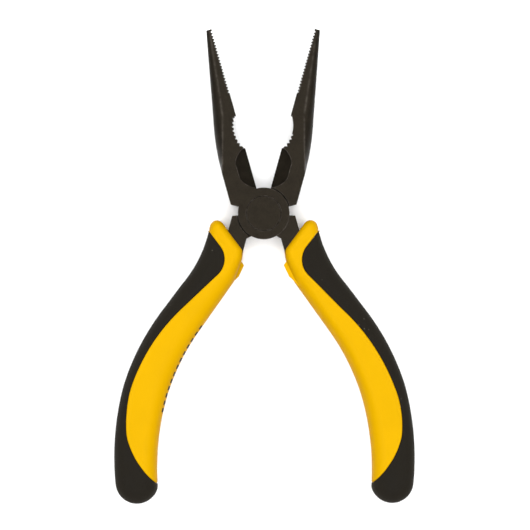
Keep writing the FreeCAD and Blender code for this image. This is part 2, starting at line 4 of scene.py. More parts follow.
import bmesh
import bpy
import numpy as np
from bpy.props import FloatProperty, FloatVectorProperty, PointerProperty
from mathutils import Matrix, Vector


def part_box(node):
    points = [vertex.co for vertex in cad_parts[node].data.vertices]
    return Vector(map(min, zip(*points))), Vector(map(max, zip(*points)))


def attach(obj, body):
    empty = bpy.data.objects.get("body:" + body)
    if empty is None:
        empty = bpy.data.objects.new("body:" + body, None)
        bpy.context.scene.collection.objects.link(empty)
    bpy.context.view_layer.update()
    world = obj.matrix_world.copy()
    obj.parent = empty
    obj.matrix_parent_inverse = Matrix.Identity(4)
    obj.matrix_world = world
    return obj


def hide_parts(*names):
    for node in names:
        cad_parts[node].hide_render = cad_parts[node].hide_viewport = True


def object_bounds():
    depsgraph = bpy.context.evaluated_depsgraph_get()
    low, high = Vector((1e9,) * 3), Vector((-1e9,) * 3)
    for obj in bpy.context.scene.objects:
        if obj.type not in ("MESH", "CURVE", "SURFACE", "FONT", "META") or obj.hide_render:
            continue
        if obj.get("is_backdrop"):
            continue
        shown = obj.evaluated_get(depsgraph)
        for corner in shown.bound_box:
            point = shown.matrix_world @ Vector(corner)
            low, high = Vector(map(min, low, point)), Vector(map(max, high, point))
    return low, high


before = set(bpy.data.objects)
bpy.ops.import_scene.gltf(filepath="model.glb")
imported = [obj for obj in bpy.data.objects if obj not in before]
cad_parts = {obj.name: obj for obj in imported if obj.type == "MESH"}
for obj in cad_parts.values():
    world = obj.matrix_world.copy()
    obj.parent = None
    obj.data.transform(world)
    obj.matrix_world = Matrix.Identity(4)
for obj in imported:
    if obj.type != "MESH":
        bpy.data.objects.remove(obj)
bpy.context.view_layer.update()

bl_info = {
    "name": "Needle Nose Pliers",
    "version": (1, 0, 0),
    "blender": (4, 5, 0),
    "location": "View3D > Sidebar > Pliers",
    "description": "Finishes forged long-nose pliers: steel, two-colour grips, marks and stage",
    "category": "Object",
}

MM = 0.001
SLEEVE_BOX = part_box("right_grip_sleeve")

# Outlines of one grip with the jaws closed, in millimetres from the pivot: the handle on the right.
# A corner is (x, y), or (x, y, radius) where the next stretch is an arc; a positive radius has its
# centre to the left of the way along.
GUARD_FOOT = (3.95, -16.4)
END_RADIUS = 8.6
GRIP_END = (20.25, -125.6)
BACK_OUTLINE = [
    (14.9, -8.0, -2.8), (19.4, -10.22, 50), (24.0, -36.1), (28.4, -47.3, -98),
    (35.7, -82.0, -112), (28.28, -120.08, -END_RADIUS), GRIP_END,
]
PALM_OUTLINE = [
    GUARD_FOOT, (3.45, -20.0), (4.25, -29.4), (12.75, -53.0, -90), (17.85, -82.0, -105),
    (11.65, -117.0, END_RADIUS), GRIP_END,
]
SEAM_OUTLINE = [
    (19.6, -12.6), (12.9, -17.4, 8.5), (11.3, -29.2), (22.3, -48.2, -79), (32.2, -83.3, -47),
    (29.1, -100.0, -32), (12.15, -115.2),
]
LUG_OUTLINE = [
    (2.05, -22.1), (2.9, -27.0, -43), (6.2, -33.0), (5.7, -31.0), (4.9, -26.0), (4.3, -20.5),
    (3.6, -20.5),
]
# The outer ridge of a jaw, from tip to root: out from the closing plane, and up from the pivot.
RIDGE_TIP = (0.9, 76.6)
RIDGE_MIDDLE = (5.2, 42.0)
RIDGE_ROOT = (11.2, 21.0)

# How much of the seam's lean there is at each place down the grip, and how far in from the rim it
# reaches that share.
LEAN_SHARES = ((-105, -92, -80, -45, -30, -15), (0, 0.15, 0.8, 1, 0.5, 0.1))
LEAN_FADE = 5

# Rounding of the grip's edge near the finger guard: distances from the guard, and radii there.
# From the neck's end on, the rounding is the one in the settings; past the belly's end the palm
# side eases to the back's rounding.
BACK_NECK = ((0, 4, 14), (3.4, 3.8, 4.4))
BACK_NECK_END = 30
PALM_NECK = ((0, 4), (3.4, 3.6))
PALM_NECK_END = 14
PALM_BELLY_END = 95

# Places that face each other across a grip: on the seam, along the palm side, and on the back.
# By the finger guard the palm side's place is a distance from the guard; below, it is a point.
NECK_MATCHES = (
    ((12.9, -17.4), 5.2, (19.3, -18.6)),
    ((9.7, -24.2), 8.6, (20.0, -23.8)),
    ((11.4, -29.2), 14.2, (21.7, -30.2)),
)
BELLY_MATCHES = (
    ((22.4, -48.1), (12.3, -51.0), (29.4, -50.0)),
    ((32.4, -83.3), (18.05, -84.0), (35.8, -82.0)),
    ((29.4, -99.9), (16.2, -101.5), (34.0, -101.0)),
)
SEAM_END_ON_BACK = (29.9, -115.5)
# On the guard's short side: a distance along the back with its distance along the palm side, and
# the palm side's distance where the seam starts.
GUARD_MATCH = (4.4, 1.4)
SEAM_START_ON_PALM = 2.6

# Step between the points of an outline, how far kinks are eased, and the step of a walk along it.
LINE_STEP = 0.15
LINE_EASE = 0.8
PALM_EASE = 0.7
WALK_STEP = 0.05
# A point this close to a line counts as on it.
ON_LINE = 0.03
# Rows of a grip shell lie this far apart where nothing is near.
ROW_SPACING = 0.7


# ------------------------------------------------------------------ settings

def length_setting(name, description, default):
    """A length among the settings, in metres."""
    return FloatProperty(name=name, description=description, default=default,
                         subtype="DISTANCE", unit="LENGTH")


def angle_setting(name, description, default):
    """An angle among the settings, in radians."""
    return FloatProperty(name=name, description=description, default=default,
                         subtype="ANGLE", unit="ROTATION")


def share_setting(name, description, default):
    """A share among the settings, from none to all."""
    return FloatProperty(name=name, description=description, default=default,
                         min=0, max=1, subtype="FACTOR")


def colour_setting(name, description, default):
    """A colour among the settings."""
    return FloatVectorProperty(name=name, description=description, default=default,
                               size=3, subtype="COLOR")


class GripSizes(bpy.types.PropertyGroup):
    """Sizes of the two moulded grips."""

    half_opening: angle_setting(
        "Half opening", "How far each grip is turned out from closed", math.radians(15.6))
    middle_height: length_setting(
        "Middle height", "Height of the middle plane of both grips",
        (SLEEVE_BOX[0].z + SLEEVE_BOX[1].z) / 2)
    thickness: length_setting(
        "Thickness", "Thickness of each grip along the pivot", SLEEVE_BOX[1].z - SLEEVE_BOX[0].z)
    back_rounding: length_setting(
        "Back rounding", "Rounding along the back and end of the grip", 5.2 * MM)
    palm_rounding: length_setting(
        "Palm rounding", "Rounding along the inner side of the grip", 6.2 * MM)
    guard_rounding: length_setting("Guard rounding", "Rounding along the finger guard", 3.0 * MM)
    seam_lean: length_setting(
        "Seam lean", "How far the seam lies to opposite sides on the two faces", 0.85 * MM)
    seam_rounding: length_setting("Seam rounding", "Rounding of both sides of the seam", 0.38 * MM)
    seam_gap: length_setting(
        "Seam gap", "Gap between the hard and the soft plastic at the surface", 0.1 * MM)
    parting_ridge: length_setting(
        "Parting line", "Height of the mould line round the grip's side", 0.07 * MM)
    lug_low: length_setting(
        "Lug low side", "Middle plane of the grip to the lug's low side", 0.7 * MM)
    lug_high: length_setting(
        "Lug high side", "Middle plane of the grip to the lug's high side", 4.4 * MM)


class MarkSizes(bpy.types.PropertyGroup):
    """Sizes of the plain marks printed on the palm side of one grip."""

    first: share_setting("Start", "Share of the palm side where the row of marks starts", 0.305)
    last: share_setting("End", "Share of the palm side where the row of marks ends", 0.62)
    spacing: length_setting("Spacing", "From one mark to the next", 2.9 * MM)
    width: length_setting("Width", "Width of one mark along the grip", 1.8 * MM)


class Finishes(bpy.types.PropertyGroup):
    """Colours and surfaces."""

    steel_colour: colour_setting(
        "Blackened steel", "Main colour of the blackened steel", (0.0140, 0.0113, 0.0079))
    steel_roughness: share_setting("Steel roughness", "Roughness of the blackened steel", 0.5)
    # The rubbed-edge colour also paints the highlight streak down each jaw's ridge.
    wear_and_highlight_colour: colour_setting(
        "Worn edge", "Colour where the blackening has rubbed off the edges", (0.10, 0.089, 0.077))
    # Painted highlight: the ridge streak stands in for the light caught by the jaw's ridge, and for
    # rubbed wear there.
    ridge_highlight_and_wear: share_setting(
        "Ridge wear", "How bright the rubbed streak down each jaw's ridge is", 0.32)
    shell_colour: colour_setting(
        "Hard plastic", "Main colour of the hard yellow plastic", (0.468, 0.258, 0.0))
    # Painted shade: this deeper orange is laid on where the rounded edges are seen aslant, in place
    # of the shade that falls there.
    shell_painted_shade_colour: colour_setting(
        "Hard plastic, aslant", "Deeper colour of the hard plastic seen aslant", (0.40, 0.19, 0.0))
    shell_roughness: share_setting(
        "Hard plastic roughness", "Roughness of the hard yellow plastic", 0.42)
    soft_colour: colour_setting(
        "Soft plastic", "Main colour of the soft black plastic", (0.0088, 0.0073, 0.0051))
    soft_roughness: share_setting(
        "Soft plastic roughness", "Roughness of the soft black plastic", 0.72)
    floor_colour: colour_setting("Floor", "Colour of the floor", (0.97, 0.97, 0.97))


class StageSizes(bpy.types.PropertyGroup):
    """Camera, lights and floor."""

    view_width: length_setting(
        "View width", "Width of the view at the grips' middle height", 212 * MM)
    view_x: length_setting("View X", "Middle of the view, across", 0.456 * MM)
    view_y: length_setting("View Y", "Middle of the view, along the pliers", -20.6 * MM)
    camera_height: length_setting("Camera height", "Camera above the grips' middle plane", 1.6)
    camera_roll: angle_setting(
        "Camera roll", "Turn of the camera about its own view", math.radians(-0.18))
    light_power: FloatProperty(
        name="Light power", description="Power of each soft light, in watts",
        default=10.9, min=0)
    sky_strength: FloatProperty(
        name="Fill strength", description="Strength of the even light from all round",
        default=0.31, min=0)


class PliersSettings(bpy.types.PropertyGroup):
    """Everything that a user would change."""

    grips: PointerProperty(type=GripSizes)
    marks: PointerProperty(type=MarkSizes)
    finishes: PointerProperty(type=Finishes)
    stage: PointerProperty(type=StageSizes)


# ------------------------------------------------------------------ outlines in the plane

def arc_points(start, end, radius, step):
    """Points along an arc from start to just before end."""
    along = end - start
    chord = np.linalg.norm(along)
    left = np.array([-along[1], along[0]]) / chord
    centre = (start + end) / 2 + left * math.copysign(
        math.sqrt(radius * radius - chord * chord / 4), radius)
    first = math.atan2(*(start - centre)[::-1])
    sweep = 2 * math.asin(min(1.0, chord / (2 * abs(radius)))) * math.copysign(1, radius)
    count = max(2, math.ceil(abs(radius * sweep) / step))
    angles = first + sweep * np.arange(count) / count
    return centre + abs(radius) * np.column_stack([np.cos(angles), np.sin(angles)])


def trace(corners, step=LINE_STEP):
    """Close points along an outline of lines and arcs, in millimetres."""
    runs = []
    for here, after in zip(corners, corners[1:]):
        start, end = np.array(here[:2], float), np.array(after[:2], float)
        if len(here) > 2:
            runs.append(arc_points(start, end, here[2], step))
        else:
            count = max(2, math.ceil(np.linalg.norm(end - start) / step))
            runs.append(start + (end - start) * (np.arange(count) / count)[:, None])
    runs.append(np.array([corners[-1][:2]], float))
    return np.vstack(runs)


def lengths(points):
    """Distance along a line to each of its points."""
    return np.concatenate([[0], np.cumsum(np.linalg.norm(np.diff(points, axis=0), axis=1))])


def at(points, distance):
    """Points of a line at the given distances along it."""
    run = lengths(points)
    return np.column_stack([np.interp(distance, run, points[:, k]) for k in (0, 1)])


def smooth_line(points, reach):
    """The line with its kinks eased over about the given reach; its ends stay."""
    run = lengths(points)
    even = at(points, np.linspace(0, run[-1], max(3, round(run[-1] / LINE_STEP))))
    sigma = reach / LINE_STEP
    kernel = np.exp(-0.5 * (np.arange(-round(3 * sigma), round(3 * sigma) + 1) / sigma) ** 2)
    kernel /= kernel.sum()
    pad = len(kernel) // 2
    eased = []
    for k in (0, 1):
        before = 2 * even[0, k] - even[pad:0:-1, k]
        after = 2 * even[-1, k] - even[-2:-pad - 2:-1, k]
        eased.append(np.convolve(np.concatenate([before, even[:, k], after]), kernel, "valid"))
    return np.column_stack(eased)


def distance_to(points, line, marks=None):
    """Distance of each point to a line of points, the way out to it, and the line's mark there."""
    best = np.full(len(points), 1e9)
    where = np.zeros_like(points)
    value = np.zeros(len(points))
    for chunk in np.array_split(np.arange(len(points)), max(1, len(points) // 2000)):
        p = points[chunk][:, None, :]
        a, b = line[:-1][None], line[1:][None]
        ab = b - a
        share = np.clip(((p - a) * ab).sum(2) / np.maximum((ab * ab).sum(2), 1e-12), 0, 1)
        foot = a + share[..., None] * ab
        gap = np.linalg.norm(p - foot, axis=2)
        pick = gap.argmin(1)
        rows = np.arange(len(chunk))
        best[chunk] = gap[rows, pick]
        where[chunk] = foot[rows, pick]
        if marks is not None:
            t = share[rows, pick]
            value[chunk] = marks[pick] * (1 - t) + marks[pick + 1] * t
    return best, where, value


def left_of(line, points):
    """Directions to the left of a line, each at the line's point nearest to the given one."""
    along = np.gradient(line, axis=0)
    along /= np.linalg.norm(along, axis=1)[:, None]
    near = [np.linalg.norm(line - point, axis=1).argmin() for point in points]
    return np.column_stack([-along[near, 1], along[near, 0]])


class GripPlan:
    """The plan of one grip: its silhouette, its seam and how round each edge is."""

    def __init__(self, sizes):
        self.half = sizes.thickness / 2 / MM
        self.seam_rounding = sizes.seam_rounding / MM
        self.seam_gap = sizes.seam_gap / MM
        self.seam_lean = sizes.seam_lean / MM
        self.ridge = sizes.parting_ridge / MM
        self.guard_rounding = sizes.guard_rounding / MM
        back, palm = trace(BACK_OUTLINE), trace(PALM_OUTLINE)
        self.back = smooth_line(back, LINE_EASE)
        self.palm = smooth_line(palm, PALM_EASE)
        self.seam = smooth_line(trace(SEAM_OUTLINE), LINE_EASE)
        self.seam[0] = self.nearest(self.back, self.seam[0])
        self.seam[-1] = self.nearest(self.palm, self.seam[-1])
        self.guard = np.array([self.palm[0], self.back[0]])
        self.rim = np.vstack([self.back, self.palm[::-1]])
        back_run, palm_run = lengths(self.back), lengths(self.palm)
        round_back, round_palm = sizes.back_rounding / MM, sizes.palm_rounding / MM
        back_round = np.interp(
            back_run, [*BACK_NECK[0], BACK_NECK_END], [*BACK_NECK[1], round_back])
        palm_round = np.interp(
            palm_run, [*PALM_NECK[0], PALM_NECK_END, PALM_BELLY_END, palm_run[-1]],
            [*PALM_NECK[1], round_palm, round_palm, round_back])
        self.rounding = np.concatenate([back_round, palm_round[::-1]])

    @staticmethod
    def nearest(line, point):
        """The point of a line that is nearest to a point."""
        return distance_to(point[None], line)[1][0]

    def surface(self, plan):
        """Height of the top face over points of the plan, and its outward normals."""
        away_guard, foot_guard, _ = distance_to(plan, self.guard)
        away_rim, foot_rim, rounding = distance_to(plan, self.rim, self.rounding)
        parts = []
        for line, away, foot, radius in (
                (self.guard, away_guard, foot_guard, self.guard_rounding),
                (self.rim, away_rim, foot_rim, rounding)):
            inside = np.clip(1 - away / radius, 0, 1)
            drop = radius * (1 - np.sqrt(np.maximum(0, 1 - inside ** 2)))
            slope = inside / np.sqrt(np.maximum(1e-3, 1 - inside ** 2))
            out = foot - plan
            size = np.linalg.norm(out, axis=1)
            out = out / np.maximum(size, 1e-9)[:, None]
            close = size < ON_LINE
            out[close] = left_of(line, plan[close])
            parts.append((drop, out * slope[:, None]))
        # The two roundings blend where the guard's edge meets the side.
        power = 3
        total = (parts[0][0] ** power + parts[1][0] ** power) ** (1 / power)
        safe = np.maximum(total, 1e-9) ** (power - 1)
        lean = sum(out * ((drop ** (power - 1)) / safe)[:, None] for drop, out in parts)
        normals = np.column_stack([lean, np.ones(len(plan))])
        normals /= np.linalg.norm(normals, axis=1)[:, None]
        return self.half - total, normals

    def leaned(self, points):
        """Points with the seam moved in on the upper face and out on the lower; the rim stays."""
        plan = points[:, :2]
        inside = np.clip(distance_to(plan, self.rim)[0] / LEAN_FADE, 0, 1)
        share = np.interp(points[:, 1], *LEAN_SHARES) * inside ** 2 * (3 - 2 * inside)
        moved = points.copy()
        moved[:, 0] -= self.seam_lean * share * points[:, 2] / self.half
        return moved

    def groove(self, plan):
        """How deep the surface sinks towards the seam."""
        away = distance_to(plan, self.seam)[0] - self.seam_gap / 2
        inside = np.clip(1 - away / self.seam_rounding, 0, 1)
        return self.seam_rounding * (1 - np.sqrt(np.maximum(0, 1 - inside ** 2)))


# ------------------------------------------------------------------ grip meshes

MERGE_DISTANCE = 0.004 * MM
SHARP_SHELL = math.radians(50)
SHARP_WITH_LUG = math.radians(38)
LUG_STEP = 0.6
LUG_SOFTENING = 0.35 * MM

# Columns of a shell: closer together towards the edges of a row, and even in its middle.
END_STEPS = 5.2 * (np.arange(12) / 11) ** 2.1
MIDDLE_COLUMNS = 9
# Levels down a shell's side, from its upper edge to its lower, and the mould line's share at each.
WALL_LEVELS = np.array([1, 0.72, 0.4, 0.14, 0.07, 0, -0.07, -0.14, -0.4, -0.72, -1])
RIDGE_SHAPE = np.array([0, 0, 0, 0, 0.7, 1, 0.7, 0, 0, 0, 0])


def row_shares(width):
    """Places across one row, close together near both ends."""
    fit = min(1.0, width / (2.4 * END_STEPS[-1]))
    near = END_STEPS * fit
    middle = np.linspace(near[-1], width - near[-1], MIDDLE_COLUMNS + 2)[1:-1]
    return np.concatenate([near, middle, width - near[::-1]]) / max(width, 1e-9)


def spread(stops, coarse):
    """Distances along a line: even, and closer together towards each stop."""
    total = stops[-1]
    even = np.linspace(0, total, math.ceil(total / coarse) + 1)
    close = coarse * 3 * (np.arange(1, 10) / 9) ** 2.2
    extra = [stop + side * close for stop in stops for side in (-1, 1)]
    marks = np.concatenate([even, np.array(stops), *extra])
    marks = np.unique(np.round(marks[(marks >= 0) & (marks <= total)], 4))
    kept = [marks[0]]
    for mark in marks[1:]:
        near = min(abs(mark - stop) for stop in stops)
        if mark - kept[-1] >= min(0.6 * coarse, 0.02 + 0.45 * near ** 0.8) or mark in stops:
            kept.append(mark)
    return np.array(kept)


def strip_surface(plan, left, right, left_wall, right_wall):
    """A shell over rows from left to right points, open at its two ends; a side that is on the
    rim gets the mould line. Returns its points and faces, and how many points a row has on top."""
    columns = 2 * len(END_STEPS) + MIDDLE_COLUMNS
    rows = len(left)
    shares = np.array([row_shares(np.linalg.norm(b - a)) for a, b in zip(left, right)])
    flat = left[:, None, :] + shares[..., None] * (right - left)[:, None, :]
    plan_points = flat.reshape(-1, 2)
    height, normals = plan.surface(plan_points)
    sink = plan.groove(plan_points)
    upper = np.column_stack([plan_points, height]) - normals * sink[:, None]
    upper = upper.reshape(rows, columns, 3)
    lower = upper * np.array([1, 1, -1])

    def wall(edge, on_rim, outward):
        """Levels down one side, between the upper and lower surface."""
        levels = []
        for level, ridge in zip(WALL_LEVELS[1:-1], RIDGE_SHAPE[1:-1]):
            points = edge * np.array([1, 1, level])
            points[:, :2] += outward * (ridge * plan.ridge * on_rim)[:, None]
            levels.append(points)
        return np.stack(levels, axis=1)

    across = right - left
    width = np.linalg.norm(across, axis=1)
    out = across / np.maximum(width, 1e-9)[:, None]
    fade = np.clip(width / 2, 0, 1)
    right_side = wall(upper[:, -1].copy(), right_wall * fade, out)
    left_side = wall(upper[:, 0].copy(), left_wall * fade, -out)
    loop = np.concatenate([upper, right_side, lower[:, ::-1], left_side[:, ::-1]], axis=1)
    around = loop.shape[1]
    faces = []
    for row in range(0, (rows - 1) * around, around):
        for k in range(around):
            after = (k + 1) % around
            faces.append((row + k, row + after, row + around + after, row + around + k))
    return loop.reshape(-1, 3), faces, columns


def cap_faces(points, columns):
    """Closes the first end of the shell with upright strips between its upper and lower edge."""
    levels = len(WALL_LEVELS)
    side = levels - 2
    top = list(range(columns))
    right = [columns + k for k in range(side)]
    bottom = [columns + side + k for k in range(columns)][::-1]
    left = [2 * columns + side + k for k in range(side)][::-1]
    grid = [[top[0], *left, bottom[0]]]
    made = list(points)
    for column in range(1, columns - 1):
        line = [top[column]]
        for level in WALL_LEVELS[1:-1]:
            share = (1 - level) / 2
            made.append(points[top[column]] * (1 - share) + points[bottom[column]] * share)
            line.append(len(made) - 1)
        grid.append([*line, bottom[column]])
    grid.append([top[-1], *right, bottom[-1]])
    faces = []
    for before, after in zip(grid, grid[1:]):
        for k in range(levels - 1):
            faces.append((before[k + 1], after[k + 1], after[k], before[k]))
    return np.array(made), faces


def placed(points, sizes, left_grip):
    """Points of the closed grip, in millimetres, where that grip lies in the pliers, in metres."""
    turned = Matrix.Rotation(math.pi, 4, "Y") if left_grip else Matrix.Identity(4)
    opening = -sizes.half_opening if left_grip else sizes.half_opening
    move = (Matrix.Translation((0, 0, sizes.middle_height))
            @ Matrix.Rotation(opening, 4, "Z") @ turned @ Matrix.Scale(MM, 4))
    array = np.array(move)
    return points @ array[:3, :3].T + array[:3, 3]


def shell_object(name, points, faces, sizes, left_grip):
    """A finished mesh object from closed-grip points, merged, outward and smooth."""
    mesh = bpy.data.meshes.new(name)
    mesh.from_pydata(placed(points, sizes, left_grip).tolist(), [], faces)
    made = bmesh.new()
    made.from_mesh(mesh)
    bmesh.ops.remove_doubles(made, verts=made.verts, dist=MERGE_DISTANCE)
    bmesh.ops.dissolve_degenerate(made, edges=made.edges, dist=MERGE_DISTANCE / 4)
    bmesh.ops.recalc_face_normals(made, faces=made.faces)
    made.to_mesh(mesh)
    made.free()
    mesh.shade_smooth()
    mesh.set_sharp_from_angle(angle=SHARP_SHELL)
    piece = bpy.data.objects.new(name, mesh)
    bpy.context.scene.collection.objects.link(piece)
    return piece


def paired(marks, pairs, onto):
    """Distances on a second line for marks on the first, by pairs of matching points."""
    first, second = zip(*pairs)
    return at(onto, np.interp(marks, first, second))


def arc_place(line, point):
    """Distance along an evenly stepped line to its point nearest to the given one."""
    nearest = np.linalg.norm(line - np.array(point), axis=1).argmin()
    return nearest * lengths(line)[-1] / (len(line) - 1)


def sleeve_shell(plan):
    """Rows of the hard sleeve: from the palm side to the back, and past the seam's start to it."""
    seam_start = arc_place(plan.back, plan.seam[0])
    back = at(plan.back, np.arange(0, seam_start, WALK_STEP))
    outer = np.vstack([back, shifted(plan.seam, plan.seam_gap / 2)])
    run = lengths(back)[-1] + WALK_STEP
    total = lengths(outer)[-1]
    marks = spread([0.0, run, total], ROW_SPACING)
    pairs = [(0, 0), GUARD_MATCH, (run, SEAM_START_ON_PALM)]
    for seam, palm, _ in NECK_MATCHES:
        pairs.append((run + arc_place(plan.seam, seam), palm))
    for seam, palm, _ in BELLY_MATCHES:
        pairs.append((run + arc_place(plan.seam, seam), arc_place(plan.palm, palm)))
    pairs.append((total, arc_place(plan.palm, plan.seam[-1])))
    left = paired(marks, pairs, plan.palm)
    right = at(outer, marks)
    right[-1] = left[-1]
    return left, right, np.ones(len(marks)), np.where(marks < run, 1.0, 0.0)


def overmould_shell(plan):
    """Rows of the soft back and end: from the seam, then the palm side, to the back."""
    tip = arc_place(plan.palm, plan.seam[-1])
    palm = at(plan.palm, np.arange(tip + WALK_STEP, lengths(plan.palm)[-1], WALK_STEP))
    inner = np.vstack([shifted(plan.seam, -plan.seam_gap / 2), palm, plan.palm[-1:]])
    run = lengths(inner[:len(plan.seam)])[-1]
    total, back_total = lengths(inner)[-1], lengths(plan.back)[-1]
    quarter = math.pi / 2 * END_RADIUS
    marks = spread([0.0, run, total], ROW_SPACING)
    pairs = [(0, arc_place(plan.back, plan.seam[0]))]
    for seam, _, back in NECK_MATCHES + BELLY_MATCHES:
        pairs.append((arc_place(plan.seam, seam), arc_place(plan.back, back)))
    pairs.append((run, arc_place(plan.back, SEAM_END_ON_BACK)))
    pairs += [(total - quarter, back_total - quarter), (total, back_total)]
    left = at(inner, marks)
    right = paired(marks, pairs, plan.back)
    left[0] = right[0]
    return left, right, np.where(marks > run, 1.0, 0.0), np.ones(len(marks))


def shifted(line, distance):
    """A line moved sideways, to the right of its way along, and not at its ends."""
    along = np.gradient(line, axis=0)
    along /= np.linalg.norm(along, axis=1)[:, None]
    run = lengths(line)
    fade = np.clip(np.minimum(run, run[-1] - run) / 1.0, 0, 1)[:, None]
    return line + np.column_stack([along[:, 1], -along[:, 0]]) * distance * fade


def add_lug(sleeve, sizes, left_grip):
    """The stepped lug on the palm side, grown onto the sleeve."""
    outline = trace(LUG_OUTLINE, LUG_STEP)[:-1]
    low, high = sizes.lug_low / MM, sizes.lug_high / MM
    count = len(outline)
    points = np.vstack([np.column_stack([outline, np.full(count, z)]) for z in (low, high)])
    faces = [tuple(range(count)), tuple(range(2 * count - 1, count - 1, -1))]
    faces += [(k, (k + 1) % count, count + (k + 1) % count, count + k) for k in range(count)]
    lug = shell_object(sleeve.name + "_lug", points, faces, sizes, left_grip)
    soften = lug.modifiers.new("soften", "BEVEL")
    soften.width = LUG_SOFTENING
    soften.segments = 3
    soften.limit_method = "ANGLE"
    soften.angle_limit = math.radians(30)
    lug.data = plain_mesh(lug)
    grow = sleeve.modifiers.new("grow", "BOOLEAN")
    grow.operation = "UNION"
    grow.solver = "EXACT"
    grow.object = lug
    mesh = plain_mesh(sleeve)
    sleeve.data = mesh
    mesh.shade_smooth()
    mesh.set_sharp_from_angle(angle=SHARP_WITH_LUG)
    bpy.data.objects.remove(lug)


def plain_mesh(thing):
    """The object's mesh with its modifiers applied; the modifiers are taken off it."""
    bpy.context.view_layer.update()
    evaluated = thing.evaluated_get(bpy.context.evaluated_depsgraph_get())
    mesh = bpy.data.meshes.new_from_object(evaluated)
    thing.modifiers.clear()
    return mesh


# ------------------------------------------------------------------ materials

def add_node(tree, kind, settings=None, inputs=None):
    """A node with its settings, and its inputs as values or as sockets to link from."""
    made = tree.nodes.new(kind)
    for key, value in (settings or {}).items():
        setattr(made, key, value)
    for key, value in (inputs or {}).items():
        if isinstance(value, bpy.types.NodeSocket):
            tree.links.new(value, made.inputs[key])
        else:
            made.inputs[key].default_value = value
    return made


def new_group(name, inputs, outputs):
    """An empty shader node group with named float inputs and outputs."""
    group = bpy.data.node_groups.new(name, "ShaderNodeTree")
    for label, value in inputs.items():
        socket = group.interface.new_socket(label, in_out="INPUT", socket_type="NodeSocketFloat")
        socket.default_value = value
    for label in outputs:
        group.interface.new_socket(label, in_out="OUTPUT", socket_type="NodeSocketFloat")
    return group, group.nodes.new("NodeGroupInput"), group.nodes.new("NodeGroupOutput")


def worked(tree, operation, first, second=None):
    """The result of one sum on values or sockets."""
    inputs = {0: first} if second is None else {0: first, 1: second}
    return add_node(tree, "ShaderNodeMath", {"operation": operation}, inputs).outputs[0]


def ranged(tree, value, low, high, start=0.0, end=1.0):
    """A value taken from the range low to high onto start to end, and held there."""
    made = add_node(tree, "ShaderNodeMapRange", {"clamp": True}, {
        "Value": value, "From Min": low, "From Max": high, "To Min": start, "To Max": end})
    return made.outputs[0]


def noise(tree, where, scale, detail, roughness):
    """Noise in space."""
    made = add_node(tree, "ShaderNodeTexNoise", {"noise_dimensions": "3D"}, {
        "Vector": where, "Scale": scale, "Detail": detail, "Roughness": roughness})
    return made.outputs[0]


def place_of(tree):
    """The shaded point's place on its object."""
    return add_node(tree, "ShaderNodeTexCoord").outputs["Object"]


def grain_group():
    """Fine moulded or blasted grain with a broader unevenness under it."""
    group, given, out = new_group("surface_grain", {"Scale": 2500.0, "Broad Scale": 120.0,
                                                    "Broad Share": 0.4}, ["Grain", "Broad"])
    where = place_of(group)
    fine = noise(group, where, given.outputs["Scale"], detail=3.0, roughness=0.6)
    broad = noise(group, where, given.outputs["Broad Scale"], detail=5.0, roughness=0.55)
    mixed = add_node(group, "ShaderNodeMix", {"data_type": "FLOAT"}, {
        0: given.outputs["Broad Share"], 2: fine, 3: broad})
    group.links.new(mixed.outputs[0], out.inputs["Grain"])
    group.links.new(broad, out.inputs["Broad"])
    return group


def speck_group():
    """Small scattered specks, as a mask."""
    group, given, out = new_group("scattered_specks", {"Scale": 600.0, "Size": 0.12,
                                                       "Share": 0.3}, ["Mask"])
    cells = add_node(group, "ShaderNodeTexVoronoi", {"voronoi_dimensions": "3D"}, {
        "Vector": place_of(group), "Scale": given.outputs["Scale"], "Randomness": 1.0})
    near = worked(group, "LESS_THAN", cells.outputs["Distance"], given.outputs["Size"])
    picked = add_node(group, "ShaderNodeSeparateColor", None, {0: cells.outputs["Color"]})
    some = worked(group, "LESS_THAN", picked.outputs[0], given.outputs["Share"])
    both = worked(group, "MULTIPLY", near, some)
    faded = worked(group, "MULTIPLY", both, picked.outputs[1])
    group.links.new(faded, out.inputs["Mask"])
    return group


def wear_group():
    """Rubbed edges: where the rounded normal leaves the true one, broken up by noise."""
    group, given, out = new_group("rubbed_edges", {"Radius": 0.0004, "Amount": 0.6,
                                                   "Scale": 700.0}, ["Mask"])
    where = place_of(group)
    shape = add_node(group, "ShaderNodeNewGeometry")
    bevel = add_node(group, "ShaderNodeBevel", {"samples": 6}, {"Radius": given.outputs["Radius"]})
    facing = add_node(group, "ShaderNodeVectorMath", {"operation": "DOT_PRODUCT"}, {
        0: bevel.outputs[0], 1: shape.outputs["Normal"]})
    bend = ranged(group, facing.outputs["Value"], low=0.995, high=0.86)
    uneven = noise(group, where, given.outputs["Scale"], detail=4.0, roughness=0.7)
    both = worked(group, "MULTIPLY", bend, ranged(group, uneven, low=0.36, high=0.66))
    scaled = worked(group, "MULTIPLY", both, given.outputs["Amount"])
    group.links.new(scaled, out.inputs["Mask"])
    return group


